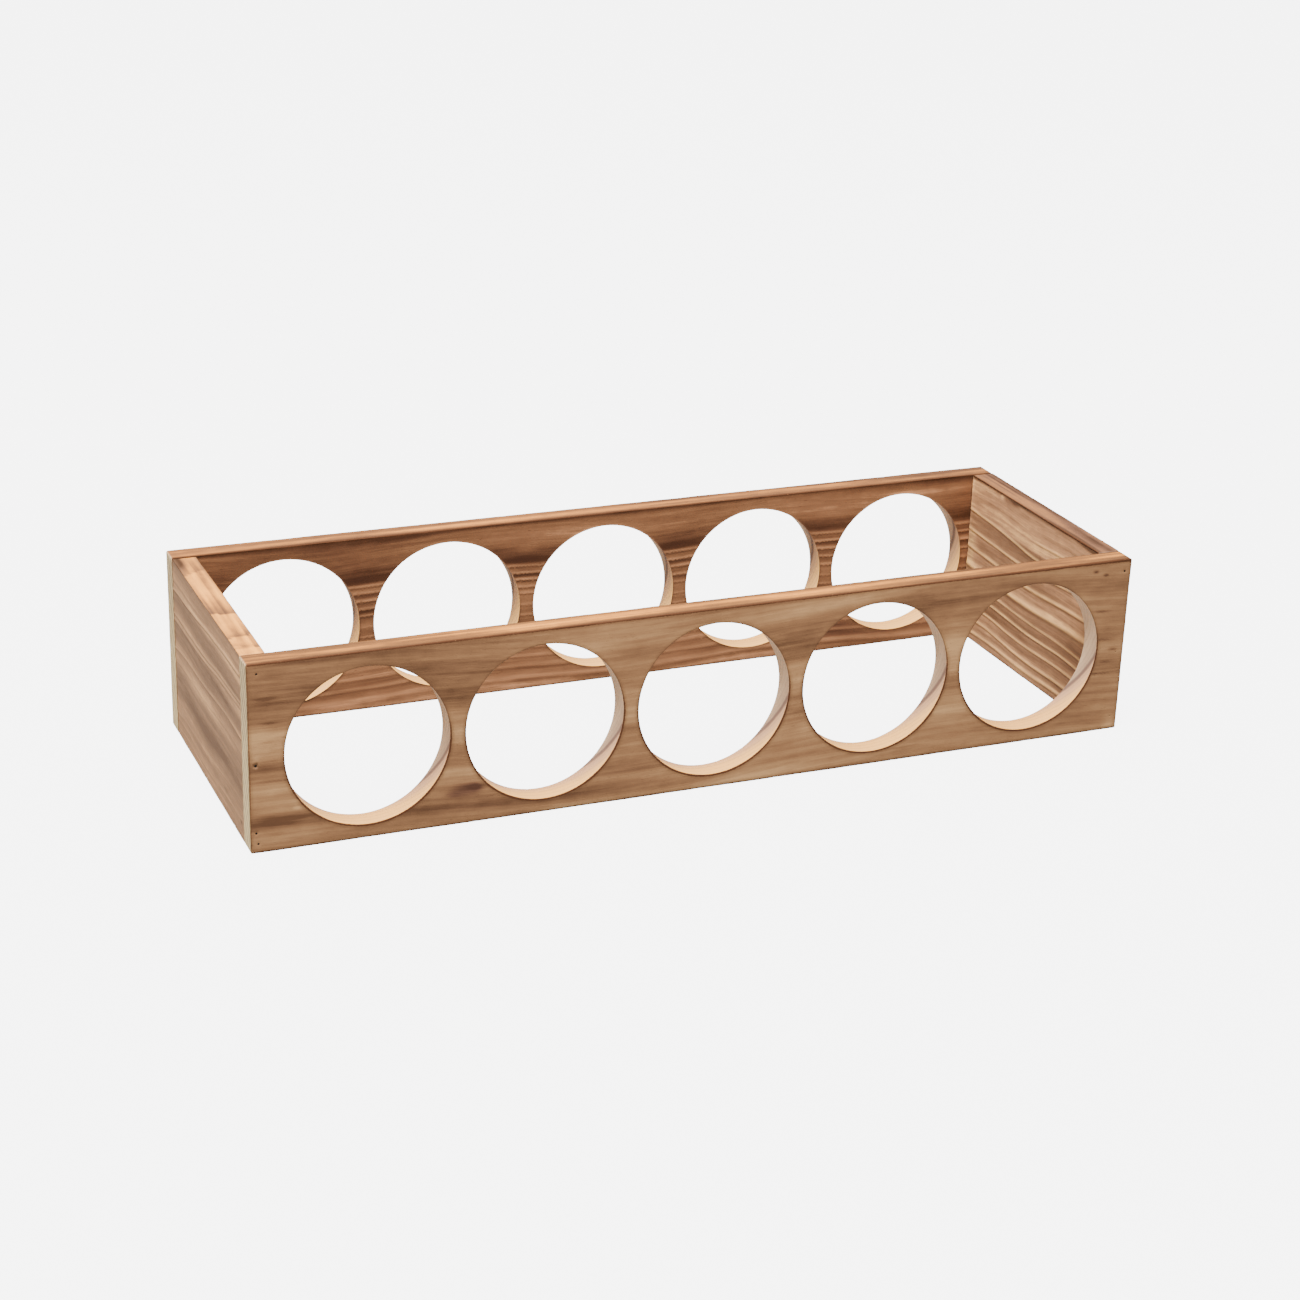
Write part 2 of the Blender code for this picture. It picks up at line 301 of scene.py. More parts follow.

# Boards.
#
# along:     the axis that the grain follows.
# outward:   which way the outer face looks along the other axis.
# slope:     how far a growth ring drops through the thickness, as a ratio.
# wander:    how the rings rise and fall along the board: size, wave length and the place of a crest.
# seam:      grain height of the dark line in the holes' walls, between their lower and upper colours. Just below
#            it the walls are painted pinker and darker as shade.
# edge:      soft spots of the long edges: u, w, half length, half width and tone.
# edge_tone: the long edges' middle tone.
# steps:     bands across the long edges with one sharp side: u, length of the fade, tone and skew.
# edge_calm: how much weaker the streaks are on the long edges. edge_tint multiplies their colours.
# end_share: how strongly the ends take the colour of end grain.
# burn:      how dark the scorched arrises are: outer edge, inner edge, outer rim and inner rim of the holes,
#            and the outer face's ends.
# swell:     where the upper edge's scorch grows: u, half length and amount.
# contrast:  how strongly the tone shows.
BOARDS = {
    "front_panel": {
        "slot": "front_board", "along": 0, "outward": -1, "slope": 2.0, "wander": (4.0, 400.0, -60.0),
        "seam": 47.0, "outer": FRONT_OUTER, "inner": FRONT_INNER, "seed": 11, "edge_tone": 0.0,
        "edge_calm": 0.0, "edge_tint": (0.99, 0.96, 0.90), "end_share": 0.95,
        "burn": (0.95, 0.6, 1.05, 0.5, 0.5), "swell": (250.0, 60.0, 1.1), "contrast": 2.2,
        "edge": (
            (0, 7.5, 260, 1.6, 0.45), (0, 1.6, 260, 1.4, -0.45), (120, 12.0, 120, 1.3, -0.6),
            (-200, 8, 40, 3, -0.3), (-90, 5, 50, 2.5, 0.3), (60, 4, 40, 2.0, 0.25), (170, 6, 45, 2.5, -0.3),
            (10, 9, 30, 2.0, 0.3),
        ),
    },
    "back_panel": {
        "slot": "back_board", "along": 0, "outward": 1, "slope": -1.9, "wander": (1.6, 190.0, 20.0),
        "seam": 50.0, "outer": BACK_OUTER, "inner": BACK_INNER, "seed": 23, "edge_tone": -0.1,
        "edge_calm": 0.0, "edge_tint": (0.90, 0.88, 0.98), "end_share": 0.95,
        "burn": (0.5, 0.9, 0.5, 0.45, 0.0), "swell": (-160.0, 45.0, 0.5), "contrast": 1.7,
        "edge": (
            (0, 7, 260, 1.8, 0.4), (0, 12.6, 260, 1.2, -0.7), (-160, 12.3, 50, 1.4, -0.8),
            (60, 3, 120, 1.4, -0.35), (-60, 8, 50, 2.5, 0.3), (110, 6, 40, 2.5, 0.3), (215, 6, 30, 3.0, -0.3),
        ),
    },
    "left_side_panel": {
        "slot": "left_board", "along": 1, "outward": -1, "slope": 0.8, "wander": (0.5, 90.0, 10.0),
        "seam": -90.0, "outer": LEFT_OUTER, "inner": LEFT_INNER, "seed": 37, "edge_tone": 0.60,
        "edge_calm": 1.7, "edge_tint": (1.0, 1.03, 1.14), "end_share": 0.2,
        "burn": (0.3, 0.45, 0.0, 0.0, 0.0), "swell": (66.0, 20.0, 0.4), "contrast": 2.1,
        "edge": ((66, 1.0, 14, 4.2, -2.0), (36, 9, 14, 5, -0.15), (16, 4, 12, 4, 0.2), (-62, 7, 9, 6, 0.35)),
        "steps": (
            (-14, 19, -0.95, -0.25), (-49.5, 7, -0.75, 0.2), (-60, 5, -0.4, -0.3), (-65, 6, -0.6, 0.0),
            (44, 9, -0.5, 0.6),
        ),
    },
    "right_side_panel": {
        "slot": "right_board", "along": 1, "outward": 1, "slope": 0.9, "wander": (0.5, 80.0, 0.0),
        "seam": -90.0, "outer": RIGHT_OUTER, "inner": RIGHT_INNER, "seed": 53, "edge_tone": -0.47,
        "edge_calm": 1.4, "edge_tint": (1.03, 1.07, 1.36), "end_share": 0.2,
        "burn": (0.5, 0.75, 0.0, 0.0, 0.0), "swell": (-45.0, 30.0, 0.8), "contrast": 2.1,
        "edge": ((-40, 12.4, 34, 1.0, -1.2), (20, 8, 50, 1.5, 0.3), (40, 4, 20, 2, -0.3)),
    },
}

# Colours of the boards, linear: five tones from dark to light for the scorched faces, the five of the long
# edges, and the raw wood of the cut faces as side grain and end grain. The two tints multiply a face's
# colour.
TONES = (-1.8, -0.9, 0.0, 0.9, 1.8)
COLOURS = {
    "front_board": (
        (0.122, 0.056, 0.026), (0.207, 0.101, 0.047), (0.302, 0.149, 0.067), (0.402, 0.212, 0.094),
        (0.530, 0.296, 0.130),
    ),
    "back_board": (
        (0.066, 0.024, 0.010), (0.116, 0.047, 0.022), (0.192, 0.083, 0.037), (0.275, 0.122, 0.055),
        (0.560, 0.255, 0.118),
    ),
    "left_board": (
        (0.248, 0.134, 0.073), (0.350, 0.195, 0.105), (0.463, 0.254, 0.131), (0.620, 0.338, 0.168),
        (0.950, 0.530, 0.245),
    ),
    "right_board": (
        (0.142, 0.068, 0.032), (0.204, 0.100, 0.048), (0.310, 0.153, 0.075), (0.515, 0.260, 0.123),
        (0.990, 0.560, 0.215),
    ),
}
EDGE_COLOURS = (
    (0.065, 0.028, 0.011), (0.150, 0.066, 0.028), (0.290, 0.118, 0.036), (0.600, 0.230, 0.045),
    (0.950, 0.370, 0.060),
)
RAW_PEACH = (0.990, 0.500, 0.142)
# The pink is painted shade on the holes' walls just below the seam; lower down the walls turn back to peach.
SHADED_RAW_PINK = (0.650, 0.345, 0.190)
RAW_BROWN = (0.540, 0.340, 0.225)
RAW_GREY = (0.880, 0.610, 0.400)
RAW_END = (0.995, 0.760, 0.395)
RAW_DARK = (0.230, 0.125, 0.072)
RAW_SEAM = (0.210, 0.125, 0.095)
CHAR = (0.085, 0.031, 0.012)
PURPLE = (0.62, 0.55, 0.72)
GREEN = (0.80, 0.94, 0.84)
WOOD_SPECULAR = 0.15


# ----------------------------------------
# Noise for shapes and masks.

NOISE_CELLS = 128


def ease(share):
    return share * share * (3.0 - 2.0 * share)


def value_noise(across, down, seed):
    """Smooth noise from -1 to 1, with one cell to each unit of the two coordinates."""
    table = np.random.default_rng(seed).uniform(-1.0, 1.0, (NOISE_CELLS, NOISE_CELLS))
    column, row = np.floor(across).astype(int), np.floor(down).astype(int)
    right, lower = ease(across - column), ease(down - row)
    column, row = column % NOISE_CELLS, row % NOISE_CELLS
    next_column, next_row = (column + 1) % NOISE_CELLS, (row + 1) % NOISE_CELLS
    upper_value = table[row, column] * (1 - right) + table[row, next_column] * right
    lower_value = table[next_row, column] * (1 - right) + table[next_row, next_column] * right
    return upper_value * (1 - lower) + lower_value * lower


def inside(value, low, high, soft):
    """1 between low and high, falling to 0 over soft on either side."""
    return ease(np.clip((value - low) / soft + 0.5, 0, 1)) * ease(np.clip((high - value) / soft + 0.5, 0, 1))


# ----------------------------------------
# Shape of a board: the outlines of its face, and the steps that lead each outline from one face to the other.


def straight(start, stop, step):
    """Points from start up to but not including stop."""
    count = max(2, round((Vector(stop) - Vector(start)).length / step))
    return [Vector(start).lerp(Vector(stop), index / count) for index in range(count)]


def corner_arcs(low, high):
    """The rounded corners of a board's face, anticlockwise, each a list of (point, angle of the normal)."""
    corners = (
        (high[0], low[1], -90, (-1, 1)),
        (high[0], high[1], 0, (-1, -1)),
        (low[0], high[1], 90, (1, -1)),
        (low[0], low[1], 180, (1, 1)),
    )
    arcs = []
    for u, z, first_angle, inward in corners:
        centre = Vector((u, z)) + CORNER_RADIUS * Vector(inward)
        angles = [math.radians(first_angle + 90 * index / CORNER_STEPS) for index in range(CORNER_STEPS + 1)]
        arcs.append([(centre + CORNER_RADIUS * Vector((math.cos(a), math.sin(a))), a) for a in angles])
    return arcs


def worn_arris(wear_place, chip_place, amounts, seed):
    """Width of the arris at each point of a loop: slow wear and a few chips on top of a middle width."""
    middle, worn, chipped, chip_start = amounts
    wear = value_noise(wear_place, wear_place * 0, seed)
    chips = np.clip(value_noise(chip_place, chip_place * 0, seed + 1) - chip_start, 0, 1)
    return ARRIS * (middle + worn * wear + chipped * chips)


def outline_loop(low, high, step_u, step_z, seed):
    """The board's outline, anticlockwise: points on its edges, outward normals and arris at each point."""
    arcs = corner_arcs(low, high)
    points, normals = [], []
    for arc, after in zip(arcs, arcs[1:] + arcs[:1]):
        points += [point for point, _ in arc]
        normals += [(math.cos(angle), math.sin(angle)) for _, angle in arc]
        run = after[0][0] - arc[-1][0]
        stretch = straight(arc[-1][0], after[0][0], step_u if abs(run.x) > abs(run.y) else step_z * 2)[1:]
        points += stretch
        normals += [(math.cos(arc[-1][1]), math.sin(arc[-1][1]))] * len(stretch)
    points, normals = np.array([tuple(point) for point in points]), np.array(normals)
    along = points[:, 0] + points[:, 1]
    wobble = sum(
        value_noise(along / length, along * 0, seed + index) * share
        for index, (length, share) in enumerate(EDGE_WAVES)
    )
    points = points - normals * (EDGE_WANDER * (0.5 + 0.5 * wobble))[:, None]
    arris = worn_arris(along / OUTLINE_WEAR, along / OUTLINE_CHIPS, OUTLINE_ARRIS, seed + 2)
    return {"points": points, "normals": normals, "arris": np.minimum(arris, ARRIS_LIMIT)}


def round_loop(centre, radius, count):
    """Angles, points and normals of a round hole, clockwise. The normals point into the hole."""
    angles = -np.arange(count) * math.tau / count
    outward = np.stack([np.cos(angles), np.sin(angles)], axis=1)
    return angles, {"points": np.array(centre) + radius * outward, "normals": -outward}


def hole_loop(centre, radius, seed):
    angles, loop = round_loop(centre, radius, HOLE_POINTS)
    (wear_cells, wear_shift), (chip_cells, chip_shift) = HOLE_WEAR, HOLE_CHIPS
    wear_place, chip_place = angles * wear_cells + wear_shift, angles * chip_cells + chip_shift
    return {**loop, "arris": worn_arris(wear_place, chip_place, HOLE_ARRIS, seed)}


def pilot_loop(centre, radius):
    """A pilot hole. Its arris is negative: the face's rim lies inside the chamber round the brad's head."""
    _, loop = round_loop(centre, radius, PILOT_POINTS)
    return {**loop, "arris": np.full(PILOT_POINTS, LIP_RIM - radius)}


def eased_steps(loop, thickness):
    """From the outer face to the inner one: distance in from the edge, depth, and how far the normal turned."""
    arris = loop["arris"]
    turns = [math.pi / 2 * index / ARRIS_STEPS for index in range(ARRIS_STEPS + 1)]
    steps = [(arris * (1 - math.sin(turn)), arris * (1 - math.cos(turn)), turn) for turn in turns]
    for index in range(1, WALL_STEPS):
        share = index / WALL_STEPS
        steps.append((arris * 0, arris + (thickness - 2 * arris) * share, math.pi / 2))
    for turn in reversed(turns):
        steps.append((arris * (1 - math.sin(turn)), thickness - arris * (1 - math.cos(turn)), math.pi - turn))
    return steps


def pilot_steps(loop, thickness, radius, mouth, shank):
    """A narrow mouth in a thin lip, a chamber for the brad's head, and a run for its shank."""
    across = math.pi / 2
    steps = (
        (LIP_RIM, 0.0, 0.0),
        (mouth, LIP_FALL, 0.0),
        (mouth, LIP_DEPTH, across),
        (radius, HEAD_SINK - CHAMBER_FRONT, across),
        (radius, HEAD_SINK + CHAMBER_BACK, across),
        (shank, HEAD_SINK + RUN_START, across),
        (shank, thickness / 2, across),
        (shank, thickness - BACK_LIP, across),
        (LIP_RIM, thickness, math.pi),
    )
    zero = loop["arris"] * 0
    return [(zero + reach - radius, zero + depth, turn) for reach, depth, turn in steps]


def ring_points(holes):
    """Rings of points on the flat face round each hole."""
    points = []
    angles = (np.arange(HOLE_POINTS) + 0.5) * math.tau / HOLE_POINTS
    for centre, radius in holes:
        for index, gap in enumerate(HOLE_RINGS):
            turned = angles + (index % 2) * math.pi / HOLE_POINTS
            reach = radius + PAST_ARRIS + gap
            points += [(centre[0] + reach * math.cos(a), centre[1] + reach * math.sin(a)) for a in turned]
    return points


def grid_points(low, high, steps, holes, pilots):
    """Staggered rows of points on the flat face, clear of its edges, its holes and its pilot holes."""
    columns, rows = (
        np.linspace(start + GRID_MARGIN, stop - GRID_MARGIN, max(2, round((stop - start) / step)))
        for start, stop, step in zip(low, high, steps)
    )
    grid_u, grid_z = np.meshgrid(columns, rows)
    grid_u = grid_u + (np.arange(len(rows)) % 2)[:, None] * (columns[1] - columns[0]) * 0.5
    keep = grid_u < high[0] - GRID_MARGIN
    taken = [(centre, radius + PAST_ARRIS + HOLE_RINGS[-1] + steps[1]) for centre, radius in holes]
    taken += [(loop["points"].mean(axis=0), PILOT_MARGIN) for loop in pilots]
    for centre, reach in taken:
        keep &= np.hypot(grid_u - centre[0], grid_z - centre[1]) > reach
    return list(zip(grid_u[keep], grid_z[keep]))


def face_triangles(outline, loops, low, high, steps, holes):
    """Points and triangles of the flat face. The loops' own points come first, in order."""
    points, faces = [], []
    for loop in (outline, *loops):
        rim = loop["points"] - loop["normals"] * loop["arris"][:, None]
        faces.append(list(range(len(points), len(points) + len(rim))))
        points.extend(map(tuple, rim))
    edges = [(a, b) for face in faces for a, b in zip(face, face[1:] + face[:1])]
    points += ring_points(holes)
    points += grid_points(low, high, steps, holes, loops[len(holes):])
    regions = faces[:1] + [face[::-1] for face in faces[1:]]
    flat = [Vector(point) for point in points]
    made, _, triangles, _, _, owners = delaunay_2d_cdt(flat, edges, regions, 0, MERGE_DISTANCE, True)
    if len(made) != len(points):
        raise ValueError("the outlines of a board's face cross or touch")
    inside_outline = [tri for tri, owner in zip(triangles, owners) if list(owner) == [0]]
    return np.array([tuple(point) for point in made]), np.array(inside_outline), faces


def board_surface(outline, loops, all_steps, low, high, steps, holes, thickness):
    """Points as (u, w, z), unit normals in the same order, triangles and quads of the closed board."""
    flat, triangles, rims = face_triangles(outline, loops, low, high, steps, holes)
    count = len(flat)
    zeros = np.zeros(count)
    points = [
        np.stack([flat[:, 0], zeros, flat[:, 1]], axis=1),
        np.stack([flat[:, 0], zeros + thickness, flat[:, 1]], axis=1),
    ]
    normals = [np.tile((0.0, -1.0, 0.0), (count, 1)), np.tile((0.0, 1.0, 0.0), (count, 1))]
    faces = [tuple(tri) for tri in triangles] + [tuple(tri[::-1] + count) for tri in triangles]
    total = 2 * count
    for loop, rim, loop_steps in zip((outline, *loops), rims, all_steps):
        rings = [list(rim)]
        for inset, depth, turn in loop_steps[1:-1]:
            place = loop["points"] - loop["normals"] * inset[:, None]
            points.append(np.stack([place[:, 0], depth, place[:, 1]], axis=1))
            side = loop["normals"] * math.sin(turn)
            normals.append(np.stack([side[:, 0], np.full(len(side), -math.cos(turn)), side[:, 1]], axis=1))
            rings.append(list(range(total, total + len(rim))))
            total += len(rim)
        rings.append([index + count for index in rim])
        for upper, lower in zip(rings, rings[1:]):
            for here in range(len(rim)):
                after = (here + 1) % len(rim)
                faces.append((upper[here], lower[here], lower[after], upper[after]))
    return np.concatenate(points), np.concatenate(normals), faces


# ----------------------------------------
# Figure of a board, worked out at each point of its surface. Lengths are in millimetres.

# What each noise adds to its board's seed.
SEEDS = {
    "outer": 1, "inner": 9, "edge": 15, "brush": 17, "burn": 18, "wander": 20, "outline": 30, "holes": 40,
}

# Two noises of a face's tone and one of its tint: amount, length, width, and the shifts along and up.
FACE_NOISES = ((0.30, 75, 4.5, 9, 3), (0.22, 38, 1.7, 5, 8), (0.15, 60, 6, 2, 1))

# Ridges: how far their lines wander and over what length, how strong they stay and how they break, how softly
# they end, and how steeply they fall above and below. Their shadow's place and width are in ridge widths.
RING_WANDER = (0.30, 22)
RING_BREAKS = (0.88, 0.12, 7)
RING_FADE = 0.12
RIDGE_FALL = (1.1, 2.6)
SHADOW_DROP = 0.95
SHADOW_WIDTH = 0.42

# Noise of the long edges, of the rings' height and of the brushing: amount, length and width.
EDGE_NOISE = (0.42, 50, 1.6)
WANDER_NOISE = (0.5, 45, 18)
BRUSH_NOISE = (0.03, 12, 0.9)
SIDE_BRUSH = 0.4
SHADOW_DEPTH = 0.25

# Scorch: its least share at the top of a hole, how far round it grows, where swell starts, and its noise. A
# hole's rim is darker towards the bottom of the hole, partly as char and partly as painted shadow.
BURN_AND_SHADE_TOP = 0.35
BURN_AND_SHADE_ROUND = 0.55
SWELL_HEIGHT = 50
BURN_NOISE = (0.95, 0.20, 11, 9)

# Wider than any gap between a point and a hole.
FAR = 1.0


def ring_line(share, ring):
    """Height of a growth ring at a share of the half length."""
    low, middle, high = ring[:3]
    return middle + (high - low) / 2 * share + ((low + high) / 2 - middle) * share * share


def face_figure(face, share, u, height, seed):
    """Tone, ridge, shadow under the ridges, and tint of one face."""
    band_heights, band_tones = zip(*face["bands"])
    bands = np.interp(height, band_heights, band_tones) * np.interp(share, (-1, 1), face.get("fade", EVEN))
    broad, fine, tint = (
        amount * value_noise(u / long + shift_u, height / wide + shift_z, seed + index)
        for index, (amount, long, wide, shift_u, shift_z) in enumerate(FACE_NOISES)
    )
    tone = bands + broad + fine
    ridge, shadow = np.zeros_like(u), np.zeros_like(u)
    wander, wander_length = RING_WANDER
    whole, broken, break_length = RING_BREAKS
    for number, ring in enumerate(face["rings"]):
        width, power, *stretch = ring[3:]
        start, stop = stretch or WHOLE
        line = ring_line(share, ring) + wander * value_noise(u / wander_length, u * 0 + number, seed + 3)
        rise = (height - line) / width
        unbroken = whole + broken * value_noise(u / break_length, u * 0 + number * 3, seed + 4)
        power = power * unbroken * inside(share, start, stop, RING_FADE)
        ridge = np.maximum(ridge, power * np.exp(-np.square(rise * np.where(rise > 0, *RIDGE_FALL))))
        shadow = np.maximum(shadow, power * np.exp(-np.square((rise + SHADOW_DROP) / SHADOW_WIDTH)))
    for place_u, place_z, long, tall, amount, *colour in face["patches"]:
        spot = np.exp(-np.square((u - place_u) / long) - np.square((height - place_z) / tall))
        tone += amount * spot
        if colour:
            tint += colour[0] * spot
    return tone, ridge, shadow, tint


def edge_figure(board, u, w, seed):
    """Tone of the board's long edges."""
    amount, long, wide = EDGE_NOISE
    tone = board["edge_tone"] + amount * value_noise(u / long, w / wide, seed)
    for place_u, place_w, long, wide, amount in board["edge"]:
        tone = tone + amount * np.exp(-np.square((u - place_u) / long) - np.square((w - place_w) / wide))
    for place_u, fade, amount, skew in board.get("steps", ()):
        past = u - place_u - skew * w
        tone = tone + np.where(past > 0, amount * np.exp(-np.clip(past, 0, None) / fade), 0)
    return tone


def rim_distance(u, w, z, low, high, thickness, holes):
    """Distances from the nearest arris, the ends, the long edges and the holes, and the angle at a hole."""
    to_end = np.minimum(u - low[0], high[0] - u)
    to_long = np.minimum(z - low[1], high[1] - z)
    to_hole, angle = np.full_like(u, FAR), np.zeros_like(u)
    for centre, radius in holes:
        gap = np.hypot(u - centre[0], z - centre[1]) - radius
        nearer = gap < to_hole
        to_hole = np.where(nearer, gap, to_hole)
        angle = np.where(nearer, np.arctan2(z - centre[1], u - centre[0]), angle)
    depth = np.minimum(w, thickness - w)
    return np.minimum.reduce([to_end, to_long, to_hole]) + depth, to_end, to_long, to_hole, angle


def burn_strength(board, outer, to_end, to_long, to_hole, angle, from_middle, height):
    """How dark the nearest arris is: scorched, and at a hole's rim partly painted shadow. outer says which
    points are nearer to the outer face.
    """
    outer_edge, inner_edge, outer_rim, inner_rim, outer_end = board["burn"]
    # A hole's rim is darkest at the bottom of the hole and lightest at its top: partly char, partly painted
    # shadow.
    below = BURN_AND_SHADE_TOP + (1 - BURN_AND_SHADE_TOP) * ease(np.clip(BURN_AND_SHADE_ROUND - np.sin(angle), 0, 1))
    rim = np.where(outer, outer_rim, inner_rim) * below
    place, reach, amount = board["swell"]
    grown = 1 + amount * np.exp(-np.square((from_middle - place) / reach))
    edge = np.where(outer, outer_edge, inner_edge) * np.where(height > SWELL_HEIGHT, grown, 1)
    end = np.where(outer, outer_end, 0.0)
    middle, size, long, wide = BURN_NOISE
    patchy = middle + size * value_noise(from_middle / long, height / wide, board["seed"] + SEEDS["burn"])
    nearest = np.where(to_hole < np.minimum(to_end, to_long), rim, np.where(to_end < to_long, end, edge))
    return nearest * patchy


def figure(board, points, normals, low, high, thickness, holes):
    """The point attributes that the material reads, and how far each point is brushed down."""
    u, w, z = points.T
    seed = board["seed"]
    middle = (low[0] + high[0]) / 2
    from_middle = (u - middle) / MM
    share = (u - middle) / ((high[0] - low[0]) / 2)
    size, wave, crest = board["wander"]
    wander = size * np.cos(math.tau * (from_middle - crest) / wave)
    size, long, wide = WANDER_NOISE
    wander += size * value_noise(from_middle / long, z / (wide * MM), seed + SEEDS["wander"])
    height = (z - low[1]) / MM + wander
    grain = height + board["slope"] * w / MM
    on_outer = np.clip(-normals[:, 1], 0, 1) ** 2
    on_inner = np.clip(normals[:, 1], 0, 1) ** 2
    on_side = 1 - on_outer - on_inner
    outer = face_figure(board["outer"], share, from_middle, height, seed + SEEDS["outer"])
    inner = face_figure(board["inner"], share, from_middle, height, seed + SEEDS["inner"])
    rim, to_end, to_long, to_hole, angle = rim_distance(u, w, z, low, high, thickness, holes)
    at_hole = to_hole < np.minimum(to_end, to_long)
    side_tone = np.where(at_hole, 0.0, edge_figure(board, from_middle, w / MM, seed + SEEDS["edge"]))
    depth = board["outer"]["relief"] * on_outer * (1 - outer[1] + SHADOW_DEPTH * outer[2])
    depth += board["inner"]["relief"] * on_inner * (1 - inner[1] + SHADOW_DEPTH * inner[2])
    size, long, wide = BRUSH_NOISE
    brushed = value_noise(from_middle / long, grain / wide, seed + SEEDS["brush"])
    depth += size * (1 + brushed) * (1 - SIDE_BRUSH * on_side)
    on_outer_half = w < thickness / 2
    attributes = {
        "grain": grain,
        "tone": on_outer * outer[0] + on_inner * inner[0] + on_side * side_tone,
        "ridge": on_outer * outer[1] + on_inner * inner[1],
        "shadow": on_outer * outer[2] + on_inner * inner[2],
        "tint": on_outer * outer[3] + on_inner * inner[3],
        "cut": on_side,
        "bored": np.where(at_hole, on_side, 0),
        "end_grain": on_side * normals[:, 0] ** 2,
        "rim": rim / MM,
        "burn": burn_strength(board, on_outer_half, to_end, to_long, to_hole, angle, from_middle, height),
    }
    return attributes, depth * MM


# ----------------------------------------
# Nodes.

# Noises of the wood. Grained ones: length along the grain and width across it in millimetres, and a shift
# beside the board's seed. Plain ones: cells in a millimetre along and across. Both go on with detail,
# roughness and distortion.
GRAINED_NOISES = {
    "broad": (150.0, 8.0, 0, 2.0, 0.5),
    "streaks": (34.0, 1.5, 3, 4.0, 0.62, 0.25),
    "fibres": (9.0, 0.30, 7, 3.0, 0.6),
    "flecks": (3.2, 0.42, 11, 1.0, 0.5),
}
PLAIN_NOISES = {"mottle": (0.12, 0.2, 3.0), "pores": (1.0, 2.6, 2.0, 0.6), "ragged": (0.7, 0.9, 3.0, 0.6)}

# How much shorter the streaks and fibres are on the side boards.
SHORT_GRAIN = 0.7
SHORTENED = ("streaks", "fibres")

# How much each noise moves the tone, and how much the flecks darken it.
TONE_NOISES = {"broad": 1.2, "streaks": 2.1, "fibres": 0.8, "mottle": 1.0}
FLECK_SHARE = 0.6

# Where each mask starts and stops on the value that it reads, and what it gives there if not 0 and 1.
MASKS = {
    "flecks": (0.70, 0.77),
    "fleck_patches": (0.42, 0.62),
    "purple": (0.1, 1.0, 0.0, 0.75),
    "green": (-0.1, -1.0, 0.0, 0.75),
    "ridge_breaks": (0.30, 0.55, 0.75, 1.0),
    "shadow_breaks": (0.30, 0.60, 0.7, 1.0),
    "peach_to_shaded_pink": (-24.0, -6.0),
    "brown_to_grey": (4.0, 22.0),
    "below_to_above": (-1.0, 1.5),
    "seam": (5.0, 0.9, 0.0, 0.9),
    "dark_rings": (0.2, 1.0),
    "pores": (0.56, 0.75),
    "end_rings": (-0.3, 1.0, 0.0, 0.32),
    "end_height": (25.0, 95.0, -0.05, 0.22),
    "char": (0.60, 0.10),
    "toast": (2.4, 0.2, 0.0, 0.45),
    "worn_edge": (0.3, -0.3),
    "worn_spots": (0.66, 0.76, 0.0, 0.5),
}
# How strongly the painted shadow under the ridges and the ridges' colour, part latewood and part painted
# highlight, show.
SHADOW_SHARE = 0.9
RIDGE_AND_HIGHLIGHT_SHARE = 0.95

# Raw wood: spacing of the rings and how far their waves and the seam wander, in millimetres, how strongly the
# hole walls show end grain, what a full end_share is, and how much each part darkens.
RING_PITCH = 6.5
RING_WAVER = 5.0
SEAM_WAVER = 2.0
BORED_END_SHARE = 0.15
FULL_END_SHARE = 0.95
RAW_RINGS = 0.16
RAW_STREAKS = 0.5
RAW_PORES = 0.35

# Scorch: how much narrower it is in a hole, its strength, how ragged it is, and how far it grows with its
# strength.
BORED_NARROWING = 1.4
BURN_GAIN = 1.4
BURN_RAGGED = 0.8
BURN_GROWTH = -0.7

# Roughness and bump of the wood: what it starts from, and what each part adds.
ROUGHNESS = 0.60
ROUGH_FIBRES = -0.35
ROUGH_PARTS = {"char": 0.15, "ridge": -0.10, "cut": 0.08}
BUMP_PARTS = {"fibres": 0.6, "streaks": 0.45, "flecks": -0.35}
BUMP_PORES = 0.5
BUMP_DEPTH = 0.25 * MM
BUMP_STRENGTH = 0.55


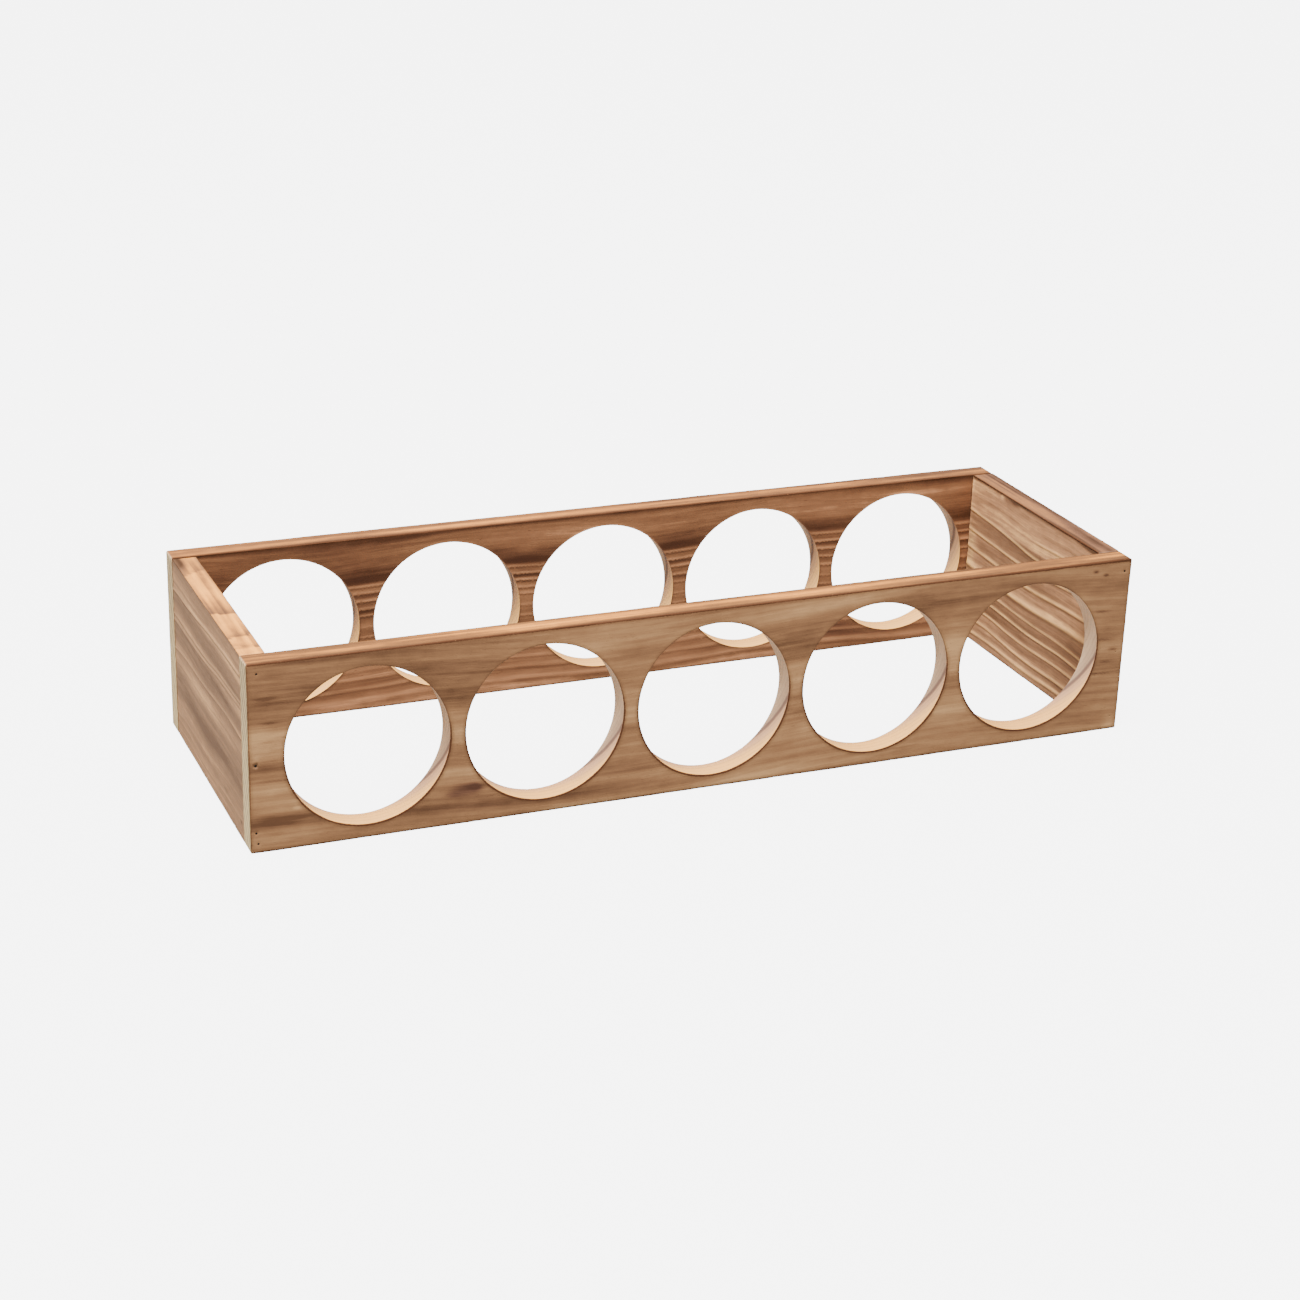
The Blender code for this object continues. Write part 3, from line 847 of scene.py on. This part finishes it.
class Graph:
    """Short calls for building one material's nodes. A value is a socket, a number or a tuple."""

    def __init__(self, name):
        self.material = bpy.data.materials.new(name)
        self.material.use_nodes = True
        self.tree = self.material.node_tree
        self.shader = self.tree.nodes["Principled BSDF"]

    def put(self, socket, value):
        if isinstance(value, bpy.types.NodeSocket):
            self.tree.links.new(value, socket)
        elif isinstance(value, tuple) and len(value) == 3 and socket.type == "RGBA":
            socket.default_value = (*value, 1.0)
        else:
            socket.default_value = value

    def node(self, kind, **settings):
        made = self.tree.nodes.new("ShaderNode" + kind)
        for name, value in settings.items():
            setattr(made, name, value)
        return made

    def math(self, operation, first, second=0.0, clamp=False):
        made = self.node("Math", operation=operation, use_clamp=clamp)
        self.put(made.inputs[0], first)
        self.put(made.inputs[1], second)
        return made.outputs[0]

    def add(self, first, *others):
        for other in others:
            first = self.math("ADD", first, other)
        return first

    def scale(self, first, second):
        return self.math("MULTIPLY", first, second)

    def attribute(self, name):
        return self.node("Attribute", attribute_name=name).outputs["Fac"]

    def mapped(self, *scale):
        """The piece's own coordinates, scaled along each axis."""
        made = self.node("Mapping", vector_type="POINT")
        self.put(made.inputs["Vector"], self.node("TexCoord").outputs["Object"])
        made.inputs["Scale"].default_value = scale
        return made.outputs[0]

    def combine(self, x, y, z):
        made = self.node("CombineXYZ")
        for socket, value in zip(made.inputs, (x, y, z)):
            self.put(socket, value)
        return made.outputs[0]

    def noise(self, place, detail=2.0, roughness=0.5, distortion=0.0):
        made = self.node("TexNoise", noise_dimensions="3D")
        self.put(made.inputs["Vector"], place)
        settings = {"Scale": 1.0, "Detail": detail, "Roughness": roughness, "Distortion": distortion}
        for name, value in settings.items():
            self.put(made.inputs[name], value)
        return made.outputs["Fac"]

    def around_half(self, noise, size):
        """Noise that averages a half, as a signed amount."""
        return self.scale(self.add(noise, -0.5), size)

    def between(self, value, low, high, to_low=0.0, to_high=1.0, kind="SMOOTHSTEP"):
        """value, eased from low..high to to_low..to_high."""
        made = self.node("MapRange", interpolation_type=kind, clamp=True)
        for socket, number in zip(made.inputs, (value, low, high, to_low, to_high)):
            self.put(socket, number)
        return made.outputs[0]

    def mask(self, value, name):
        return self.between(value, *MASKS[name])

    def mix(self, share, first, second, blend="MIX"):
        made = self.node("Mix", data_type="RGBA", blend_type=blend, clamp_factor=True)
        self.put(made.inputs["Factor"], share)
        self.put(made.inputs[6], first)
        self.put(made.inputs[7], second)
        return made.outputs[2]

    def ramp(self, value, *stops):
        made = self.node("ValToRGB")
        elements = made.color_ramp.elements
        while len(elements) < len(stops):
            elements.new(0.5)
        for element, (place, colour) in zip(elements, stops):
            element.position = place
            element.color = (*colour, 1.0)
        self.put(made.inputs[0], value)
        return made.outputs[0]

    def tone_ramp(self, tone, colours):
        """The colour for a tone, from the colours of the five tones."""
        low, high = TONES[0], TONES[-1]
        stops = [((level - low) / (high - low), colour) for level, colour in zip(TONES, colours)]
        return self.ramp(self.between(tone, low, high, kind="LINEAR"), *stops)

    def bump(self, height, distance, strength):
        made = self.node("Bump")
        made.inputs["Distance"].default_value = distance
        made.inputs["Strength"].default_value = strength
        self.put(made.inputs["Height"], height)
        self.put(self.shader.inputs["Normal"], made.outputs[0])

    def finish(self, colour, roughness):
        self.put(self.shader.inputs["Base Color"], colour)
        self.put(self.shader.inputs["Roughness"], roughness)
        return self.material


class WoodGraph(Graph):
    """The graph of one board's wood. Its colours are all laid out by the grain height."""

    def __init__(self, board):
        super().__init__(board["slot"])
        self.board = board
        self.palette = COLOURS[board["slot"]]
        place = self.node("SeparateXYZ")
        self.put(place.inputs[0], self.node("TexCoord").outputs["Object"])
        self.along = self.scale(place.outputs[board["along"]], 1 / MM)
        self.across = self.scale(place.outputs[1 - board["along"]], 1 / MM)
        self.up = self.scale(place.outputs[2], 1 / MM)
        for name in ("grain", "ridge", "shadow", "tint", "cut", "bored", "end_grain", "rim", "burn"):
            setattr(self, name, self.attribute(name))
        for name, (long, wide, shift, *settings) in GRAINED_NOISES.items():
            if board["along"] == 1 and name in SHORTENED:
                long = long * SHORT_GRAIN
            start = self.add(self.scale(self.along, 1 / long), board["seed"] + shift)
            point = self.combine(start, self.scale(self.across, 1 / wide), self.scale(self.grain, 1 / wide))
            setattr(self, name, self.noise(point, *settings))
        for name, (along, across, *settings) in PLAIN_NOISES.items():
            parts = (self.along, along), (self.across, across), (self.up, across)
            point = self.combine(*(self.scale(part, cells) for part, cells in parts))
            setattr(self, name, self.noise(point, *settings))
        self.flecks = self.mask(self.flecks, "flecks")
        self.tone = self.scale(self.attribute("tone"), board["contrast"])
        for name, size in TONE_NOISES.items():
            self.tone = self.add(self.tone, self.around_half(getattr(self, name), size))
        self.ridge = self.scale(self.ridge, self.mask(self.streaks, "ridge_breaks"))
        self.shadow = self.scale(self.shadow, self.mask(self.streaks, "shadow_breaks"))

    def parts(self, amounts):
        """Each of these sockets times its amount."""
        return [self.scale(getattr(self, name), amount) for name, amount in amounts.items()]

    def weathered(self):
        """The scorched and brushed faces, with a painted highlight on the ridges and painted shadow under them.
        """
        colour = self.tone_ramp(self.tone, self.palette)
        for name, tint in (("purple", PURPLE), ("green", GREEN)):
            colour = self.mix(self.mask(self.tint, name), colour, tint, "MULTIPLY")
        # Painted shadow under each ridge, then the ridge lifted towards the lightest tone: its own paler
        # latewood and a painted highlight.
        colour = self.mix(self.scale(self.shadow, SHADOW_SHARE), colour, self.palette[0])
        colour = self.mix(self.scale(self.ridge, RIDGE_AND_HIGHLIGHT_SHARE), colour, self.palette[-1])
        patches = self.scale(self.mask(self.broad, "fleck_patches"), FLECK_SHARE)
        return self.mix(self.scale(self.flecks, patches), colour, self.palette[0])

    def raw(self):
        """Raw wood: the walls of the holes and the end grain, with painted shade in the walls just below the
        seam.
        """
        sound = self.add(self.grain, self.around_half(self.mottle, SEAM_WAVER), -self.board["seam"])
        # Just below the seam the wall is painted pinker and darker as shade, turning to peach towards the
        # bottom of the hole.
        below = self.mix(self.mask(sound, "peach_to_shaded_pink"), RAW_PEACH, SHADED_RAW_PINK)
        above = self.mix(self.mask(sound, "brown_to_grey"), RAW_BROWN, RAW_GREY)
        side = self.mix(self.mask(sound, "below_to_above"), below, above)
        end_share = self.between(self.bored, 0.0, 1.0, self.board["end_share"], BORED_END_SHARE)
        colour = self.mix(self.scale(self.end_grain, end_share), side, RAW_END)

        rings = self.add(self.grain, self.around_half(self.broad, RING_WAVER))
        wave = self.math("SINE", self.scale(rings, math.tau / RING_PITCH))
        on_ends = self.math("SUBTRACT", self.end_grain, self.bored, clamp=True)
        dark = self.add(
            self.scale(self.mask(wave, "dark_rings"), RAW_RINGS),
            self.around_half(self.streaks, RAW_STREAKS),
            self.scale(self.mask(self.pores, "pores"), self.scale(self.end_grain, RAW_PORES)),
            self.scale(on_ends, self.add(self.mask(wave, "end_rings"), self.mask(self.up, "end_height"))),
        )
        colour = self.mix(self.math("MAXIMUM", dark, 0.0, clamp=True), colour, RAW_DARK)
        seam = self.mask(self.math("ABSOLUTE", sound), "seam")
        return self.mix(self.scale(seam, self.bored), colour, RAW_SEAM)

    def long_edge(self):
        """The long edges, which aren't as scorched as the faces."""
        tint = self.board["edge_tint"]
        colours = [tuple(part * share for part, share in zip(colour, tint)) for colour in EDGE_COLOURS]
        calm = self.add(self.tone, self.around_half(self.streaks, -self.board["edge_calm"]))
        return self.tone_ramp(calm, colours)

    def scorched(self, colour):
        """colour with charred, toasted and worn arrises, and the strength of the char."""
        rim = self.scale(self.rim, self.add(1.0, self.scale(self.bored, BORED_NARROWING)))
        reach = self.add(rim, self.around_half(self.ragged, BURN_RAGGED), self.scale(self.burn, BURN_GROWTH))
        burnt = self.math("MULTIPLY", self.burn, BURN_GAIN, clamp=True)
        char = self.scale(self.mask(reach, "char"), burnt)
        toast = self.scale(self.mask(reach, "toast"), burnt)
        worn = self.scale(self.mask(reach, "worn_edge"), self.mask(self.ragged, "worn_spots"))
        colour = self.mix(self.scale(toast, self.math("SUBTRACT", 1.0, self.bored)), colour, self.palette[0])
        return self.mix(worn, self.mix(char, colour, CHAR), self.palette[-1]), char


def wood_material(board):
    """Scorched and brushed faces, raw cut walls, end grain and charred arrises."""
    wood = WoodGraph(board)
    shown_end = wood.scale(wood.end_grain, board["end_share"] / FULL_END_SHARE)
    cut_colour = wood.mix(wood.math("MAXIMUM", wood.bored, shown_end), wood.long_edge(), wood.raw())
    colour, wood.char = wood.scorched(wood.mix(wood.cut, wood.weathered(), cut_colour))
    rough = wood.add(ROUGHNESS, wood.around_half(wood.fibres, ROUGH_FIBRES), *wood.parts(ROUGH_PARTS))
    end_pores = wood.scale(wood.pores, wood.scale(wood.end_grain, BUMP_PORES))
    height = wood.add(*wood.parts(BUMP_PARTS), end_pores)
    wood.shader.inputs["Specular IOR Level"].default_value = WOOD_SPECULAR
    wood.bump(height, BUMP_DEPTH, BUMP_STRENGTH)
    return wood.finish(colour, rough)


def pilot_shade_material():
    """The inside of a pilot hole: near-black painted shade, with a bump of torn fibres."""
    graph = Graph("pilot_hole_shade")
    torn = graph.noise(graph.mapped(1800.0, 900.0, 1800.0), 3.0, 0.6)
    colour = graph.ramp(torn, (0.35, (0.012, 0.006, 0.004)), (0.7, (0.040, 0.020, 0.012)))
    graph.bump(torn, 0.2 * MM, 0.6)
    return graph.finish(colour, graph.between(torn, 0.2, 0.8, 0.75, 0.95))


def steel_material():
    """Dull bare wire with a little brown rust."""
    graph = Graph("brad_wire")
    spots = graph.noise(graph.mapped(1500.0, 1500.0, 1500.0), 4.0, 0.65)
    drawn = graph.noise(graph.mapped(6000.0, 300.0, 6000.0), 2.0)
    steel = graph.ramp(drawn, (0.3, (0.050, 0.045, 0.042)), (0.7, (0.110, 0.100, 0.092)))
    rust = graph.between(spots, 0.55, 0.70)
    graph.put(graph.shader.inputs["Metallic"], graph.between(rust, 0.0, 1.0, 1.0, 0.2))
    graph.bump(graph.add(graph.scale(drawn, 0.4), spots), 0.05 * MM, 0.5)
    colour = graph.mix(rust, steel, (0.060, 0.026, 0.014))
    return graph.finish(colour, graph.between(spots, 0.3, 0.7, 0.35, 0.65))


# ----------------------------------------
# Pieces.


def add_piece(name, mesh, *nodes, slot):
    piece = bpy.data.objects.new(name, mesh)
    bpy.context.scene.collection.objects.link(piece)
    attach(piece, "root")
    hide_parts(*nodes)
    return piece


def measured_holes(node):
    """Centre, as (x, z), and radius of each round hole, measured on the walls of the CAD panel."""
    low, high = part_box(node)
    walls = sorted(
        (vertex.co.x, vertex.co.z)
        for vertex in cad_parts[node].data.vertices
        if low.y + WALL_INSET < vertex.co.y < high.y - WALL_INSET
        and low.x + EDGE_INSET < vertex.co.x < high.x - EDGE_INSET
        and low.z + EDGE_INSET < vertex.co.z < high.z - EDGE_INSET
    )
    groups = [[walls[0]]]
    for before, point in zip(walls, walls[1:]):
        if point[0] - before[0] > HOLE_SPACING:
            groups.append([])
        groups[-1].append(point)
    found = []
    for group in groups:
        across, up = zip(*group)
        radius = (max(across) - min(across)) / 2
        if radius > LEAST_HOLE_RADIUS:
            found.append((((max(across) + min(across)) / 2, (max(up) + min(up)) / 2), radius))
    return found


def brads_in(joint_prefix):
    """The brads of one long panel: centre, as (x, z), and the radii of the head and the pilot hole's mouth."""
    found = []
    for node in sorted(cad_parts):
        if node.startswith(joint_prefix):
            low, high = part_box(node)
            centre = ((low.x + high.x) / 2, (low.z + high.z) / 2)
            found.append((centre, (high.x - low.x) / 2, MOUTHS.get(node, COMMON_MOUTH)))
    return found


def pilot_points(points, thickness, brads):
    """Which points are on the wall of a pilot hole, below its lip."""
    found = np.zeros(len(points), dtype=bool)
    deep = (points[:, 1] > PILOT_FRONT) & (points[:, 1] < thickness - PILOT_BACK)
    for centre, head_radius, _ in brads:
        gap = np.hypot(points[:, 0] - centre[0], points[:, 2] - centre[1])
        found |= deep & (gap < head_radius + PILOT_CLEARANCE + PILOT_REACH)
    return found


def board_mesh(name, placed, faces, attributes, in_pilot, materials):
    """The mesh of a board. Faces whose points are all in a pilot hole take the second material, which is
    painted shade.
    """
    mesh = bpy.data.meshes.new(name)
    mesh.from_pydata(placed, [], faces)
    for name, values in attributes.items():
        mesh.attributes.new(name, "FLOAT", "POINT").data.foreach_set("value", values.astype(np.float32))
    for material in materials:
        mesh.materials.append(material)
    for polygon in mesh.polygons:
        if all(in_pilot[index] for index in polygon.vertices):
            polygon.material_index = 1
    shape = bmesh.new()
    shape.from_mesh(mesh)
    bmesh.ops.recalc_face_normals(shape, faces=shape.faces)
    shape.to_mesh(mesh)
    shape.free()
    mesh.shade_smooth()
    return mesh


def make_board(node, board, materials):
    """A board, made in its own coordinates and then placed. Only the long panels have holes."""
    low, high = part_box(node)
    along, seed = board["along"], board["seed"]
    through = 1 - along
    is_long = along == 0
    thickness = high[through] - low[through]
    flat_low, flat_high = (low[along], low.z), (high[along], high.z)
    holes = measured_holes(node) if is_long else []
    brads = brads_in("brad_" + node.split("_")[0]) if is_long else []
    steps = LONG_STEP if is_long else SHORT_STEP
    outline = outline_loop(flat_low, flat_high, *steps, seed + SEEDS["outline"])
    loops = [hole_loop(*hole, seed + SEEDS["holes"] + index * 2) for index, hole in enumerate(holes)]
    all_steps = [eased_steps(loop, thickness) for loop in (outline, *loops)]
    for centre, head_radius, mouth in brads:
        radius, shank = head_radius + PILOT_CLEARANCE, head_radius * SHANK_SHARE + PILOT_CLEARANCE
        loops.append(pilot_loop(centre, radius))
        all_steps.append(pilot_steps(loops[-1], thickness, radius, mouth, shank))
    points, normals, faces = board_surface(
        outline, loops, all_steps, flat_low, flat_high, steps, holes, thickness
    )
    attributes, depth = figure(board, points, normals, flat_low, flat_high, thickness, holes)
    in_pilot = pilot_points(points, thickness, brads)
    points = points - normals * depth[:, None]

    placed = np.zeros_like(points)
    placed[:, along] = points[:, 0]
    placed[:, through] = low[through] + points[:, 1] if board["outward"] < 0 else high[through] - points[:, 1]
    placed[:, 2] = points[:, 2]
    mesh = board_mesh(node + "_wood", placed, faces, attributes, in_pilot, materials)
    piece = add_piece(node + "_board", mesh, node, slot=board["slot"])
    if not is_long:
        drill_ends(piece, node, materials)


def shank_runs(node, materials):
    """A hidden object that holds the runs for the brads' shanks in both ends of a side board."""
    low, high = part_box(node)
    end = "_left_" if low.x < 0 else "_right_"
    shape = bmesh.new()
    for name in sorted(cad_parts):
        if name.startswith("brad_") and end in name:
            start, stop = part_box(name)
            radius = (stop.x - start.x) / 2 * SHANK_SHARE + PILOT_CLEARANCE
            front = "_front_" in name
            tip = stop.y + RUN_PAST_TIP if front else start.y - RUN_PAST_TIP
            mouth = low.y - RUN_PAST_END if front else high.y + RUN_PAST_END
            place = Matrix.Translation(((start.x + stop.x) / 2, (tip + mouth) / 2, (start.z + stop.z) / 2))
            bmesh.ops.create_cone(
                shape, cap_ends=True, segments=PILOT_POINTS, radius1=radius, radius2=radius,
                depth=abs(tip - mouth), matrix=place @ Matrix.Rotation(math.pi / 2, 4, "X"),
            )
    for face in shape.faces:
        face.material_index = 1
    mesh = bpy.data.meshes.new("shank_runs")
    shape.to_mesh(mesh)
    shape.free()
    for material in materials:
        mesh.materials.append(material)
    runs = bpy.data.objects.new("shank_runs", mesh)
    bpy.context.scene.collection.objects.link(runs)
    return runs


def drill_ends(piece, node, materials):
    """Cuts the runs for the brads' shanks into both ends of a side board."""
    runs = shank_runs(node, materials)
    boolean = piece.modifiers.new("shank_runs", "BOOLEAN")
    boolean.operation = "DIFFERENCE"
    boolean.solver = "EXACT"
    boolean.object = runs
    drilled = bpy.data.meshes.new_from_object(piece.evaluated_get(bpy.context.evaluated_depsgraph_get()))
    piece.modifiers.clear()
    piece.data = drilled
    bpy.data.objects.remove(runs, do_unlink=True)


def brad_profile(radius, length):
    """A turned brad, from the dimple in its head down to the start of its point, as (radius, height)."""
    shank = radius * SHANK_SHARE
    head = radius * HEAD_SHARE
    neck = -head * HEAD_NECK
    profile = [(radius * share, -depth) for share, depth in DIMPLE]
    profile += [(radius * share, -head * depth) for share, depth in HEAD_EDGE]
    profile.append((shank, neck))
    for ring in range(GRIP_RINGS):
        top = neck - GRIP_PITCH * (ring + 1)
        profile += [(shank, top), (shank * GRIP_SHARE, top - GRIP_HALF), (shank, top - 2 * GRIP_HALF)]
    profile.append((shank, BRAD_TIP - length))
    return profile


def brad_mesh(radius, length, material):
    """A brad's mesh, whose +Z points out of the panel. Its point starts square."""
    shape = bmesh.new()
    rings = []
    angles = [math.tau * step / BRAD_SEGMENTS for step in range(BRAD_SEGMENTS)]
    for reach, height in brad_profile(radius, length):
        rings.append([shape.verts.new((reach * math.cos(a), reach * math.sin(a), height)) for a in angles])
    dimple = shape.verts.new((0.0, 0.0, -DIMPLE_DEPTH))
    point = shape.verts.new((0.0, 0.0, -length))
    for here in range(BRAD_SEGMENTS):
        after = (here + 1) % BRAD_SEGMENTS
        shape.faces.new((dimple, rings[0][here], rings[0][after]))
        for upper, lower in zip(rings, rings[1:]):
            shape.faces.new((upper[here], lower[here], lower[after], upper[after]))
        shape.faces.new((point, rings[-1][after], rings[-1][here]))
    for vertex in rings[-1]:
        vertex.co.xy = vertex.co.xy * (max(abs(vertex.co.x), abs(vertex.co.y)) / vertex.co.xy.length)
    mesh = bpy.data.meshes.new("brad_wire")
    shape.to_mesh(mesh)
    shape.free()
    mesh.shade_smooth()
    mesh.set_sharp_from_angle(angle=BRAD_SHARP)
    mesh.materials.append(material)
    return mesh


def make_brads(material):
    """One finer brad for each of the CAD brads. All of them share a mesh."""
    names = sorted(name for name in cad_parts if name.startswith("brad_"))
    low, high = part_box(names[0])
    mesh = brad_mesh((high.x - low.x) / 2, high.y - low.y, material)
    for name in names:
        low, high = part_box(name)
        side = -1 if "_front_" in name else 1
        head_y = low.y if side < 0 else high.y
        place = Matrix.Translation(((low.x + high.x) / 2, head_y, (low.z + high.z) / 2))
        brad = bpy.data.objects.new(name + "_wire", mesh)
        brad.matrix_world = place @ Matrix.Rotation(-side * math.pi / 2, 4, "X")
        bpy.context.scene.collection.objects.link(brad)
        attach(brad, "root")
        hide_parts(name)


# ----------------------------------------
# Stage, light and camera. The camera's turns are in degrees: about the vertical, up from straight down, and
# about its own line of sight.

FLOOR_SIZE = 30.0
FLOOR_DROP = 0.2 * MM
FLOOR_GLOW = 6.0
FLOOR_GREYS = (0.19, 0.21)
LIGHT_PLACE = (-0.46, -0.60, 2.28)
LIGHT_AIM = (0.0, 0.0, 0.05)
LIGHT_SIZE = 1.7
LIGHT_POWER = 200.0
WORLD_COLOUR = (1.0, 0.985, 0.965, 1.0)
WORLD_STRENGTH = 0.5
CAMERA_PLACE = (-0.5371, -1.26385, 0.59747)
CAMERA_TURN = (-22.9833, 68.1119, 1.8327)
CAMERA_LENS = 74.03
CAMERA_SENSOR = 36.0
CAMERA_NEAR = 0.05


def make_floor():
    """A pale floor that glows towards the camera."""
    graph = Graph("pale_floor")
    dark, light = ((grey, grey, grey) for grey in FLOOR_GREYS)
    colour = graph.ramp(graph.noise(graph.mapped(3.0, 3.0, 3.0), 2.0), (0.3, dark), (0.7, light))
    graph.shader.inputs["Emission Color"].default_value = (1.0, 1.0, 1.0, 1.0)
    seen = graph.node("LightPath").outputs["Is Camera Ray"]
    graph.put(graph.shader.inputs["Emission Strength"], graph.scale(seen, FLOOR_GLOW))
    mesh = bpy.data.meshes.new("floor")
    half = FLOOR_SIZE / 2
    corners = [(-half, -half, 0), (half, -half, 0), (half, half, 0), (-half, half, 0)]
    mesh.from_pydata(corners, [], [(0, 1, 2, 3)])
    mesh.materials.append(graph.finish(colour, 0.9))
    floor = bpy.data.objects.new("floor", mesh)
    floor.location.z = -FLOOR_DROP
    bpy.context.scene.collection.objects.link(floor)


def make_lights():
    """A large disk overhead, and an even pale world."""
    lamp = bpy.data.lights.new("overhead", "AREA")
    lamp.shape = "DISK"
    lamp.size = LIGHT_SIZE
    lamp.energy = LIGHT_POWER
    light = bpy.data.objects.new("overhead", lamp)
    light.location = LIGHT_PLACE
    light.rotation_euler = (Vector(LIGHT_AIM) - Vector(LIGHT_PLACE)).to_track_quat("-Z", "Y").to_euler()
    bpy.context.scene.collection.objects.link(light)
    world = bpy.data.worlds.new("studio")
    world.use_nodes = True
    background = world.node_tree.nodes["Background"]
    background.inputs["Color"].default_value = WORLD_COLOUR
    background.inputs["Strength"].default_value = WORLD_STRENGTH
    bpy.context.scene.world = world


def make_camera():
    azimuth, tilt, roll = (math.radians(angle) for angle in CAMERA_TURN)
    data = bpy.data.cameras.new("camera")
    data.sensor_width = CAMERA_SENSOR
    data.lens = CAMERA_LENS
    data.clip_start = CAMERA_NEAR
    camera = bpy.data.objects.new("camera", data)
    turn = Matrix.Rotation(azimuth, 4, "Z") @ Matrix.Rotation(tilt, 4, "X") @ Matrix.Rotation(roll, 4, "Z")
    camera.matrix_world = Matrix.Translation(CAMERA_PLACE) @ turn
    bpy.context.scene.collection.objects.link(camera)
    bpy.context.scene.camera = camera


def main():
    pilot_shade = pilot_shade_material()
    for node, board in BOARDS.items():
        make_board(node, board, (wood_material(board), pilot_shade))
    make_brads(steel_material())
    make_floor()
    make_lights()
    make_camera()


main()
